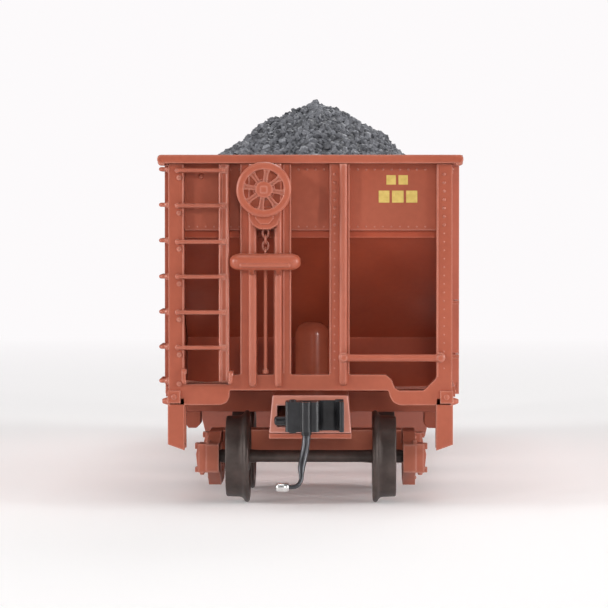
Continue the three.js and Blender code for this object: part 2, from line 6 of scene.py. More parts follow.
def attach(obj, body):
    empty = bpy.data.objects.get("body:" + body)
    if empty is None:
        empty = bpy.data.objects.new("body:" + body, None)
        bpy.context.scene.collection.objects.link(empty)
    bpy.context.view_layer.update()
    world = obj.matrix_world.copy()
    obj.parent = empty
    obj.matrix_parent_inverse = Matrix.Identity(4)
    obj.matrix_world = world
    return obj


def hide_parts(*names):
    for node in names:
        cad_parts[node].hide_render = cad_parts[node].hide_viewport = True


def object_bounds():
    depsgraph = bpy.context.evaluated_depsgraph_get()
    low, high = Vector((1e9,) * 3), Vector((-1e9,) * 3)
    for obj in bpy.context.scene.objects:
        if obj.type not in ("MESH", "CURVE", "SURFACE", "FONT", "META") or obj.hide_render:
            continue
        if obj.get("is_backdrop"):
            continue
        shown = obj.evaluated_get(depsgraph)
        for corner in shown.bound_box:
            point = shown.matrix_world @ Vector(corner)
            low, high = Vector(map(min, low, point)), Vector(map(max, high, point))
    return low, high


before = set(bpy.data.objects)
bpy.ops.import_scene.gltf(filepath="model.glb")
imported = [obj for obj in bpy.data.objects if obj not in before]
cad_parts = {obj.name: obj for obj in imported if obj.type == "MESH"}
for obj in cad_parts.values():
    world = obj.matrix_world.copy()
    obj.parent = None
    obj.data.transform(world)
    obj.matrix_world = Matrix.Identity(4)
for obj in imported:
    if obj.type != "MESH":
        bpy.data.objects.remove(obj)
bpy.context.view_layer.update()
MM = 0.001
RAIL = 0.64          # rail top above the flange bottoms, mm
rnd = random.Random(20241)

# ------------------------------------------------------------------ camera, floor, lights
scene = bpy.context.scene
scene.view_settings.view_transform = "Standard"
scene.view_settings.look = "None"

cam_data = bpy.data.cameras.new("camera")
cam = bpy.data.objects.new("camera", cam_data)
scene.collection.objects.link(cam)
scene.camera = cam
cam_data.sensor_width = 36.0
cam_data.lens = 201.3
cam_data.clip_start = 0.02
cam_data.clip_end = 60.0
cam.location = (0.00601, -0.457, 0.0348 + RAIL * MM)
aim = Vector((-0.00073, -0.062, 0.02307 + RAIL * MM))
cam.rotation_euler = (aim - cam.location).to_track_quat("-Z", "Y").to_euler()

world = bpy.data.worlds.new("studio")
scene.world = world
world.use_nodes = True
world.node_tree.nodes["Background"].inputs["Color"].default_value = (1.0, 0.985, 0.98, 1.0)
world.node_tree.nodes["Background"].inputs["Strength"].default_value = 0.08


def area(name, loc, target, size, power, colour=(1, 1, 1)):
    d = bpy.data.lights.new(name, "AREA")
    d.shape = "RECTANGLE"
    d.size, d.size_y = size
    d.energy = power
    d.color = colour
    o = bpy.data.objects.new(name, d)
    scene.collection.objects.link(o)
    o.location = loc
    o.rotation_euler = (Vector(target) - Vector(loc)).to_track_quat("-Z", "Y").to_euler()
    return o


front = area("front", (0.05, -0.95, 0.16), (0, -0.05, 0.02), (0.16, 0.16), 1.7)
front.visible_glossy = False
area("key_left", (-0.56, -0.80, 0.28), (0, -0.05, 0.02), (0.06, 0.09), 1.65, (1, 0.985, 0.97))
area("key_right", (0.58, -0.80, 0.26), (0, -0.05, 0.02), (0.06, 0.09), 1.5, (1, 0.99, 0.98))
area("side_left", (-0.60, -0.20, 0.14), (0, -0.05, 0.02), (0.22, 0.36), 2.7)
area("side_right", (0.60, -0.20, 0.14), (0, -0.05, 0.02), (0.22, 0.36), 2.7)
area("top", (0.0, -0.06, 0.95), (0, -0.0, 0.0), (0.7, 0.9), 3.5)
area("back", (0.25, 0.95, 0.60), (0, 0.05, 0.02), (0.6, 0.5), 3.2)


# ------------------------------------------------------------------ mesh building
def P(x, y, z):
    return (x * MM, y * MM, (z + RAIL) * MM)


class B:
    """Collects closed solids, drawn in mm above the rail top."""

    def __init__(self):
        self.v, self.f, self.m = [], [], []
        self.mat = 0

    def _add(self, verts, faces):
        n = len(self.v)
        self.v.extend(verts)
        for f in faces:
            self.f.append([n + i for i in f])
            self.m.append(self.mat)

    def box(self, x0, x1, y0, y1, z0, z1):
        x0, x1 = sorted((x0, x1)); y0, y1 = sorted((y0, y1)); z0, z1 = sorted((z0, z1))
        v = [P(x, y, z) for z in (z0, z1) for y in (y0, y1) for x in (x0, x1)]
        self._add(v, [(0, 2, 3, 1), (4, 5, 7, 6), (0, 1, 5, 4), (2, 6, 7, 3), (0, 4, 6, 2), (1, 3, 7, 5)])

    def loops(self, rings, close=False, cap=True):
        """rings of equal length, skinned in order; orientation fixed later"""
        k = len(rings[0])
        v = [p for r in rings for p in r]
        f = []
        n = len(rings)
        for i in range(n if close else n - 1):
            a, b = i * k, ((i + 1) % n) * k
            for j in range(k):
                j2 = (j + 1) % k
                f.append((a + j, a + j2, b + j2, b + j))
        if cap and not close:
            f.append(tuple(reversed(range(k))))
            f.append(tuple((n - 1) * k + j for j in range(k)))
        self._add(v, f)

    def prism(self, pts, plane, a, b):
        """2-D outline in plane XZ, YZ or XY, thick from a to b along the third axis"""
        def at(u, w, t):
            return P(u, t, w) if plane == "XZ" else P(t, u, w) if plane == "YZ" else P(u, w, t)
        self.loops([[at(u, w, a) for u, w in pts], [at(u, w, b) for u, w in pts]])

    def ring_at(self, c, d, r, seg, up=None, phase=0.0, squash=1.0):
        d = Vector(d).normalized()
        up = Vector(up) if up else (Vector((0, 0, 1)) if abs(d.z) < 0.9 else Vector((0, 1, 0)))
        s = d.cross(up).normalized()
        t = s.cross(d).normalized()
        out = []
        for k in range(seg):
            a = 2 * math.pi * (k + phase) / seg
            q = Vector(c) + s * (r * math.cos(a)) + t * (r * squash * math.sin(a))
            out.append(P(*q))
        return out

    def rod(self, p, q, r, seg=16, r2=None, edge=0.0):
        p, q = Vector(p), Vector(q)
        d = q - p
        r2 = r if r2 is None else r2
        if edge:
            u = d.normalized()
            rings = [self.ring_at(p, d, r - edge, seg), self.ring_at(p + u * edge, d, r, seg),
                     self.ring_at(q - u * edge, d, r2, seg), self.ring_at(q, d, r2 - edge, seg)]
        else:
            rings = [self.ring_at(p, d, r, seg), self.ring_at(q, d, r2, seg)]
        self.loops(rings)

    def tube(self, pts, r, seg=10, up=None, closed=False, squash=1.0):
        pts = [Vector(p) for p in pts]
        rs = r if isinstance(r, (list, tuple)) else [r] * len(pts)
        rings = []
        n = len(pts)
        up = Vector(up) if up else Vector((0, 0, 1))
        for i, p in enumerate(pts):
            if closed:
                d = pts[(i + 1) % n] - pts[i - 1]
            else:
                d = pts[min(i + 1, n - 1)] - pts[max(i - 1, 0)]
            rings.append(self.ring_at(p, d, rs[i], seg, up, squash=squash))
        self.loops(rings, close=closed)

    def lathe(self, profile, centre, axis, seg=64, closed=False, phase=0.5):
        """profile of (radius, distance along axis) pairs"""
        c, a = Vector(centre), Vector(axis).normalized()
        if closed:
            self.loops([self.ring_at(c + a * h, a, max(r, 1e-4), seg, phase=phase) for r, h in profile], close=True)
        else:
            self.loops([self.ring_at(c + a * h, a, max(r, 1e-4), seg, phase=phase) for r, h in profile])

    def dome(self, c, n, r, h, seg=8):
        """a rivet head, sunk a little into its plate"""
        c, n = Vector(c), Vector(n).normalized()
        rings = [self.ring_at(c - n * 0.06, n, r, seg), self.ring_at(c + n * h * 0.35, n, r * 0.95, seg),
                 self.ring_at(c + n * h * 0.85, n, r * 0.6, seg), self.ring_at(c + n * h, n, r * 0.15, seg)]
        self.loops(rings)

    def hexhead(self, c, n, r, h, seg=6):
        c, n = Vector(c), Vector(n).normalized()
        self.loops([self.ring_at(c - n * 0.06, n, r, seg), self.ring_at(c + n * h * 0.7, n, r, seg),
                    self.ring_at(c + n * h, n, r * 0.8, seg)])

    def make(self, name, mats, body="root", slot=None, bevel=0.0, sharp=35, seg=2, replaces=()):
        me = bpy.data.meshes.new(name)
        me.from_pydata(self.v, [], self.f)
        mats = mats if isinstance(mats, (list, tuple)) else [mats]
        for m in mats:
            me.materials.append(m)
        if len(mats) > 1:
            me.polygons.foreach_set("material_index", self.m)
        import bmesh
        bm = bmesh.new()
        bm.from_mesh(me)
        bmesh.ops.recalc_face_normals(bm, faces=bm.faces)
        bm.to_mesh(me)
        bm.free()
        me.polygons.foreach_set("use_smooth", [True] * len(me.polygons))
        me.set_sharp_from_angle(angle=math.radians(sharp))
        me.update()
        o = bpy.data.objects.new(name, me)
        scene.collection.objects.link(o)
        if bevel:
            add_bevel(o, bevel, seg)
        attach(o, body)
        if replaces:
            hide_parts(*replaces)
        return o


def add_bevel(o, width, seg=2, angle=30):
    b = o.modifiers.new("edge", "BEVEL")
    b.width = width * MM
    b.segments = seg
    b.limit_method = "ANGLE"
    b.angle_limit = math.radians(angle)
    b.harden_normals = True
    b.use_clamp_overlap = True
    b.miter_outer = "MITER_SHARP"


# ------------------------------------------------------------------ materials
class N:
    def __init__(self, name):
        self.m = bpy.data.materials.new(name)
        self.m.use_nodes = True
        self.t = self.m.node_tree
        self.bsdf = self.t.nodes["Principled BSDF"]
        self.tc = self.t.nodes.new("ShaderNodeTexCoord")

    def new(self, kind, **props):
        n = self.t.nodes.new(kind)
        for k, v in props.items():
            setattr(n, k, v)
        return n

    def link(self, a, b):
        self.t.links.new(a, b)

    def noise(self, scale, detail=3.0, rough=0.5):
        n = self.new("ShaderNodeTexNoise")
        n.inputs["Scale"].default_value = scale
        n.inputs["Detail"].default_value = detail
        n.inputs["Roughness"].default_value = rough
        self.link(self.tc.outputs["Object"], n.inputs["Vector"])
        return n.outputs["Fac"]

    def ramp(self, fac, stops):
        n = self.new("ShaderNodeValToRGB")
        e = n.color_ramp.elements
        while len(e) < len(stops):
            e.new(0.5)
        for k, (pos, col) in enumerate(stops):
            e[k].position = pos
            e[k].color = (*col, 1.0) if len(col) == 3 else col
        self.link(fac, n.inputs["Fac"])
        return n.outputs["Color"]

    def remap(self, fac, a, b, lo, hi):
        n = self.new("ShaderNodeMapRange")
        for s, v in (("From Min", a), ("From Max", b), ("To Min", lo), ("To Max", hi)):
            n.inputs[s].default_value = v
        self.link(fac, n.inputs["Value"])
        return n.outputs["Result"]

    def mix(self, fac, a, b, blend="MIX"):
        n = self.new("ShaderNodeMix", data_type="RGBA", blend_type=blend)
        n.clamp_factor = True
        self._put(fac, n.inputs[0])
        self._put(a, n.inputs[6])
        self._put(b, n.inputs[7])
        return n.outputs[2]

    def _put(self, v, socket):
        if hasattr(v, "is_output"):
            self.link(v, socket)
        elif isinstance(v, (tuple, list)):
            socket.default_value = (*v, 1.0) if len(v) == 3 else v
        else:
            socket.default_value = v

    def edge(self, radius):
        """1 along convex and concave edges, 0 on flats"""
        bv = self.new("ShaderNodeBevel")
        bv.samples = 4
        bv.inputs["Radius"].default_value = radius * MM
        g = self.new("ShaderNodeNewGeometry")
        d = self.new("ShaderNodeVectorMath", operation="DOT_PRODUCT")
        self.link(bv.outputs["Normal"], d.inputs[0])
        self.link(g.outputs["Normal"], d.inputs[1])
        return self.remap(d.outputs["Value"], 0.995, 0.86, 0.0, 1.0)

    def up_facing(self, lo, hi):
        g = self.new("ShaderNodeNewGeometry")
        s = self.new("ShaderNodeSeparateXYZ")
        self.link(g.outputs["Normal"], s.inputs[0])
        return self.remap(s.outputs["Z"], lo, hi, 0.0, 1.0)

    def bump(self, height, strength, dist):
        n = self.new("ShaderNodeBump")
        n.inputs["Strength"].default_value = strength
        n.inputs["Distance"].default_value = dist * MM
        self.link(height, n.inputs["Height"])
        self.link(n.outputs["Normal"], self.bsdf.inputs["Normal"])


def oxide_paint(name, base, rough=0.34, edge_amount=0.8, spec=0.45, reach=0.3):
    k = N(name)
    dark = tuple(c * f for c, f in zip(base, (0.90, 0.86, 0.84)))
    light = tuple(min(1, c * f) for c, f in zip(base, (1.06, 1.10, 1.12)))
    patch = k.ramp(k.noise(55, 4, 0.55), [(0.32, dark), (0.52, base), (0.72, light)])
    fine = k.noise(1400, 3, 0.6)
    col = k.mix(k.remap(fine, 0.35, 0.65, 0.0, 0.10), patch, (1, 0.9, 0.85), "SOFT_LIGHT")
    # paint thin and rubbed along the edges, and lightened there as a painted edge highlight, broken up by noise
    em = k.new("ShaderNodeMath", operation="MULTIPLY")
    k.link(k.edge(reach), em.inputs[0])
    k.link(k.remap(k.noise(420, 3, 0.6), 0.25, 0.75, edge_amount * 0.5, edge_amount), em.inputs[1])
    col = k.mix(em.outputs[0], col, (min(1, base[0] * 1.55), min(1, base[1] * 3.0), min(1, base[2] * 4.2)))
    dust = k.new("ShaderNodeMath", operation="MULTIPLY")
    k.link(k.up_facing(0.55, 1.0), dust.inputs[0])
    k.link(k.remap(k.noise(160, 4, 0.6), 0.3, 0.7, 0.0, 0.12), dust.inputs[1])
    col = k.mix(dust.outputs[0], col, (0.42, 0.30, 0.26))
    k.link(col, k.bsdf.inputs["Base Color"])
    lo, hi = (0.03, 0.07) if rough > 0.3 else (0.015, 0.015)
    k.link(k.remap(k.noise(300, 3, 0.5), 0.3, 0.7, rough - lo, rough + hi), k.bsdf.inputs["Roughness"])
    k.bump(fine, 0.14, 0.03)
    k.bsdf.inputs["Specular IOR Level"].default_value = spec
    return k.m


def metal(name, base, rough, metallic, scale=500, streak=None, bump=0.15):
    k = N(name)
    dark = tuple(c * 0.72 for c in base)
    light = tuple(min(1, c * 1.35) for c in base)
    f = k.noise(scale, 4, 0.6)
    k.link(k.ramp(f, [(0.3, dark), (0.5, base), (0.75, light)]), k.bsdf.inputs["Base Color"])
    lo, hi = (0.02, 0.1) if rough > 0.29 else (0.03, 0.015)
    k.link(k.remap(k.noise(scale * 0.6, 3, 0.5), 0.3, 0.7, rough - lo, rough + hi), k.bsdf.inputs["Roughness"])
    k.bsdf.inputs["Metallic"].default_value = metallic
    k.bump(k.noise(scale * 3, 3, 0.6), bump, 0.02)
    return k.m


BODY = oxide_paint("body_paint", (0.385, 0.095, 0.052))
TRUCK = oxide_paint("truck_paint", (0.385, 0.110, 0.064), 0.42, 0.7)
CAST = oxide_paint("underframe_paint", (0.33, 0.080, 0.044), 0.5, 0.3)
# ribs: the body paint with wider, stronger edge lightening, a painted highlight along the rib corners besides the
# rubbed paint
RIB = oxide_paint("rib_highlight_paint", (0.385, 0.095, 0.052), 0.34, 1.0, 0.5, 0.55)
# slope sheets: a redder copy of the body paint with less green and blue, painted shade and red bounce light in the
# recess
SLOPE = oxide_paint("slope_shade_paint", (0.41, 0.076, 0.035), 0.36, 0.6)
# draft box: a lighter, pinker copy of the body paint, painted sheen
BOX = oxide_paint("draft_box_sheen_paint", (0.46, 0.160, 0.110), 0.36, 0.9)
GLOSS = oxide_paint("cylinder_paint", (0.385, 0.095, 0.052), 0.24, 0.3, 0.6)
WHEEL = metal("wheel_metal", (0.080, 0.061, 0.055), 0.40, 0.55, 420)
BLACK = metal("coupler_black", (0.021, 0.021, 0.0235), 0.24, 0.1, 700, bump=0.06)
PIN = metal("pin_steel", (0.078, 0.078, 0.085), 0.31, 0.7, 900, bump=0.08)
BRIGHT = metal("pin_tip", (0.80, 0.79, 0.78), 0.24, 0.9, 900, bump=0.05)
SCREW = metal("screw_metal", (0.20, 0.185, 0.175), 0.35, 0.85, 800)


def yellow_paint():
    k = N("stencil_yellow")
    f = k.noise(1500, 3, 0.6)
    k.link(k.ramp(f, [(0.3, (0.62, 0.45, 0.11)), (0.6, (0.74, 0.56, 0.16))]), k.bsdf.inputs["Base Color"])
    k.bsdf.inputs["Roughness"].default_value = 0.5
    k.bump(f, 0.15, 0.02)
    return k.m


def coal_material():
    k = N("coal")
    geo = k.new("ShaderNodeAttribute", attribute_name="tone")
    base = k.ramp(geo.outputs["Fac"], [(0.0, (0.036, 0.037, 0.043)), (0.4, (0.098, 0.101, 0.115)),
                                       (0.75, (0.178, 0.183, 0.204)), (1.0, (0.30, 0.307, 0.335))])
    f = k.noise(2200, 4, 0.65)
    col = k.mix(k.remap(f, 0.35, 0.7, 0.0, 0.35), base, (0.20, 0.205, 0.22))
    k.link(col, k.bsdf.inputs["Base Color"])
    k.link(k.remap(k.noise(900, 3, 0.5), 0.3, 0.7, 0.34, 0.66), k.bsdf.inputs["Roughness"])
    k.bump(f, 0.35, 0.05)
    return k.m


YELLOW = yellow_paint()
COAL = coal_material()


def floor_material(name):
    k = N(name)
    d = k.new("ShaderNodeVectorMath", operation="LENGTH")
    k.link(k.tc.outputs["Object"], d.inputs[0])
    far = k.remap(d.outputs["Value"], 0.13, 0.44, 0.0, 1.0)
    near = k.ramp(k.noise(3, 2, 0.5), [(0.3, (0.90, 0.885, 0.885)), (0.7, (0.925, 0.91, 0.91))])
    k.link(k.mix(far, near, (0.0, 0.0, 0.0)), k.bsdf.inputs["Base Color"])
    k.link(k.mix(far, (0.14, 0.137, 0.138), (0.978, 0.955, 0.965)), k.bsdf.inputs["Emission Color"])
    k.bsdf.inputs["Emission Strength"].default_value = 1.0
    k.bsdf.inputs["Roughness"].default_value = 0.9
    k.bsdf.inputs["Specular IOR Level"].default_value = 0.0
    return k.m


def ring_mesh(name, prof, n=64):
    """a round sheet, its profile given as (radius, height) pairs in metres"""
    me = bpy.data.meshes.new(name)
    v = [(r * math.cos(2 * math.pi * k / n), r * math.sin(2 * math.pi * k / n), z) for r, z in prof for k in range(n)]
    f = []
    for i in range(len(prof) - 1):
        for k in range(n):
            a, b = i * n, (i + 1) * n
            f.append((a + k, b + k, b + (k + 1) % n, a + (k + 1) % n))
    if prof[0][0] < 0.001:
        f.append(tuple(range(n)))
    me.from_pydata(v, [], f)
    me.materials.append(floor_material(name))
    me.polygons.foreach_set("use_smooth", [True] * len(me.polygons))
    o = bpy.data.objects.new(name, me)
    scene.collection.objects.link(o)
    o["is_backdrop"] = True
    return o


def studio():
    ring_mesh("studio_floor", [(r, 0.0) for r in (0.0005, 0.1, 0.2, 0.3, 0.44)])
    prof = [(r, 0.0) for r in (0.44, 1.2, 2.0, 2.6)]
    for i in range(1, 9):
        a = math.pi / 2 * i / 8
        prof.append((2.6 + 0.4 * math.sin(a), 0.4 - 0.4 * math.cos(a)))
    prof += [(3.0, 1.2), (3.0, 3.0)]
    far = ring_mesh("studio_far", prof)
    far.visible_diffuse = False
    far.visible_glossy = False


studio()


# ------------------------------------------------------------------ CAD pieces that stay: edges and paint
def dress(node, mat, width=0.07, seg=2):
    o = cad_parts[node]
    for s in o.material_slots:
        s.material = mat
    if not o.material_slots:
        o.data.materials.append(mat)
    w = o.modifiers.new("weld", "WELD")
    w.merge_threshold = 2e-6
    d = o.modifiers.new("flats", "DECIMATE")
    d.decimate_type = "DISSOLVE"
    d.angle_limit = math.radians(1.0)
    add_bevel(o, width, seg)
    return o


for n in ("side_left", "side_right", "slope_sheet_b", "slope_sheet_a", "hopper_bay_b", "hopper_bay_a", "door_b_left", "door_b_right", "door_a_left", "door_a_right",
          "centre_ridge", "box_cover_b", "box_cover_a", "brake_housing"):
    dress(n, SLOPE if n.startswith("slope") else BODY, 0.2 if n.startswith(("end_frame", "end_sheet", "draft", "brake")) else 0.1, 4 if n.startswith("end") else 3)
dress("underframe", CAST, 0.12)
for e in "ba":
    dress(f"truck_bolster_{e}", TRUCK, 0.12)
    for s in ("left", "right"):
        dress(f"sideframe_{e}_{s}", TRUCK, 0.13)


# ------------------------------------------------------------------ both ends share their details
class EB(B):
    """a B whose points are turned half round for the far end"""

    def __init__(self, e):
        super().__init__()
        self.e = e

    def _add(self, verts, faces):
        if self.e == "a":
            verts = [(-x, -y, z) for x, y, z in verts]
        super()._add(verts, faces)


def rounded(pts, r=0.3, n=5):
    """an outline with its corners rounded"""
    out = []
    k = len(pts)
    for i in range(k):
        p0, p1, p2 = Vector(pts[i - 1]), Vector(pts[i]), Vector(pts[(i + 1) % k])
        c0 = (p0 - p1).normalized() * min(r, (p0 - p1).length * 0.45)
        c1 = (p2 - p1).normalized() * min(r, (p2 - p1).length * 0.45)
        for j in range(n):
            t = j / (n - 1)
            q = (p1 + c0) * (1 - t) ** 2 + p1 * 2 * t * (1 - t) + (p1 + c1) * t ** 2
            out.append((q.x, q.y))
    return out


def bent_rod(b, pts, r, seg=12, bend=0.35):
    """a wire through pts with rounded corners"""
    out = [Vector(pts[0])]
    for i in range(1, len(pts) - 1):
        p0, p1, p2 = Vector(pts[i - 1]), Vector(pts[i]), Vector(pts[i + 1])
        d0 = (p0 - p1).normalized() * min(bend, (p0 - p1).length * 0.45)
        d1 = (p2 - p1).normalized() * min(bend, (p2 - p1).length * 0.45)
        for k in range(6):
            t = k / 5
            out.append((p1 + d0) * (1 - t) ** 2 + p1 * 2 * t * (1 - t) + (p1 + d1) * t ** 2)
    out.append(Vector(pts[-1]))
    # steady frame: the wires here bend in one plane, whose normal is the up vector
    n = (Vector(pts[1]) - Vector(pts[0])).cross(Vector(pts[2]) - Vector(pts[1])).normalized() if len(pts) > 2 else None
    b.tube(out, r, seg, up=n)


def upright_rib(b, x0, x1, z0, z1, front, back):
    """a pressed rib: flat top, round corners, tapering sides and a round lower end"""
    c, h = (x0 + x1) / 2, (x1 - x0) / 2
    rings = []
    for z, k in ((z0, 0.30), (z0 + 0.06, 0.52), (z0 + 0.16, 0.74), (z0 + 0.3, 0.9), (z0 + 0.5, 1.0), (z1, 1.0)):
        w = h * (0.25 + 0.75 * k)
        f = back + (front - back) * (0.35 + 0.65 * k)
        r = 0.34
        pts = [(c - w, back)]
        for i in range(6):
            a = math.pi / 2 * i / 5
            pts.append((c - w * 0.9 + r * k * (1 - math.cos(a)), f + r * k * (1 - math.sin(a))))
        for i in range(5, -1, -1):
            a = math.pi / 2 * i / 5
            pts.append((c + w * 0.9 - r * k * (1 - math.cos(a)), f + r * k * (1 - math.sin(a))))
        pts.append((c + w, back))
        rings.append([P(x, y, z) for x, y in pts])
    b.loops(rings)


for e in "ba":
    T, F, K = 39.35, -62.0, -60.55
    left = [(-2.27, 14.85), (-2.27, T), (-4.25, T), (-4.25, 14.85), (-6.2, 14.85), (-6.2, T), (-8.1, T), (-8.1, 14.85)] if e == "b" else \
        [(-2.27, 14.85), (-2.27, T), (-4.34, T), (-4.34, 14.85)]
    out = [(-16.5, 11.3), (-10.4, 11.3), (-9.7, 11.6), (-9.4, 12.3), (-9.4, 13.0), (9.1, 13.0), (9.3, 12.2), (9.7, 11.6),
           (10.4, 11.3), (16.5, 11.3), (16.5, T), (14.65, T), (14.65, 14.45), (13.2, 13.0), (10.3, 13.0), (9.8, 13.3),
           (9.5, 14.2), (8.8, 14.85), (4.52, 14.85), (4.52, T), (2.27, T), (2.27, 14.85)] + left + \
          [(-9.3, 14.85), (-9.3, 13.75), (-14.65, 13.75), (-14.65, T), (-16.5, T)]
    b = EB(e)
    b.prism(rounded(out, 0.22, 4), "XZ", F, K)
    b.make(f"end_frame_plate_{e}", BODY, "root", "body_paint", bevel=0.13, seg=3, replaces=(f"end_frame_{e}",))
    b = EB(e)
    upright_rib(b, 3.34, 4.34, 13.6, T, F - 0.9, F + 0.3)
    if e == "b":
        upright_rib(b, -7.19, -6.2, 13.4, T, F - 0.9, F + 0.3)
        upright_rib(b, -4.15, -3.27, 13.4, T, F - 0.9, F + 0.3)
    else:
        upright_rib(b, -4.34, -3.34, 13.6, T, F - 0.9, F + 0.3)
    b.make(f"end_ribs_{e}", RIB, "root", "body_paint", sharp=48)
    # corner castings and the stirrup steps under them
    b = EB(e)
    for t in (-1, 1):
        b.box(t * 15.1, t * 16.6, F - 0.4, F + 0.2, 11.5, 13.0)
        b.rod((t * 16.3, F + 0.3, 11.75), (t * 17.25, F + 0.3, 11.75), 0.55, 16, r2=0.28, edge=0.08)
        foot = [(t * 16.6, 6.7), (t * 14.65, 6.0), (t * 14.65, 12.1), (t * 16.6, 12.1)]
        for y0, y1 in ((-62.0, -61.35), (-57.85, -57.2)):
            b.prism(foot, "XZ", y0, y1)
        b.prism([(t * 16.55, 6.72), (t * 14.7, 6.05), (t * 14.7, 6.6), (t * 16.55, 7.0)], "XZ", -61.5, -57.7)
    b.make(f"corner_steps_{e}", BODY, "root", "body_paint", bevel=0.12, seg=3)
    # end sheet and rim
    b = EB(e)
    b.box(-15.5, 15.5, -60.5, -59.7, 31.6, 39.6)
    b.make(f"end_sheet_fine_{e}", BODY, "root", "body_paint", bevel=0.1, replaces=(f"end_sheet_{e}",))
    b = EB(e)
    b.prism([(-17.75, 39.7), (-17.45, 39.4), (17.45, 39.4), (17.75, 39.7), (17.75, 40.1), (17.45, 40.4), (-17.45, 40.4), (-17.75, 40.1)],
            "XZ", -63.0, -59.7)
    for t in (-1, 1):
        b.prism([(t * 16.9, 39.15), (t * 17.5, 39.15), (t * 17.7, 39.45), (t * 17.7, 40.2), (t * 17.5, 40.36), (t * 16.9, 40.36)], "XZ",
                -62.9, -60.2)
    b.make(f"end_rim_{e}", BODY, "root", "body_paint", bevel=0.14, seg=3)
    # draft box: a tapering box open towards the coupler, its back wall, and the pivot post inside
    b = EB(e)
    outer = [(-4.78, 8.05), (4.78, 8.05), (4.4, 12.45), (-4.4, 12.45)]
    inner = [(-3.85, 8.8), (3.85, 8.8), (3.85, 11.25), (-3.85, 11.25)]
    b.loops([[P(x, y, z) for x, z in ring] for ring, y in ((outer, -52.5), (outer, -62.4), (inner, -62.4), (inner, -52.5))], close=True)
    b.make(f"draft_box_fine_{e}", BOX, "root", "body_paint", bevel=0.17, seg=3, replaces=(f"draft_box_{e}",))
    b = EB(e)
    b.prism([(-4.7, 8.1), (4.7, 8.1), (4.35, 12.4), (-4.35, 12.4)], "XZ", -52.6, -51.9)
    b.rod((0, -54.5, 8.3), (0, -54.5, 11.5), 0.8, 20)
    b.make(f"draft_box_inside_{e}", BODY, "root", "body_paint")


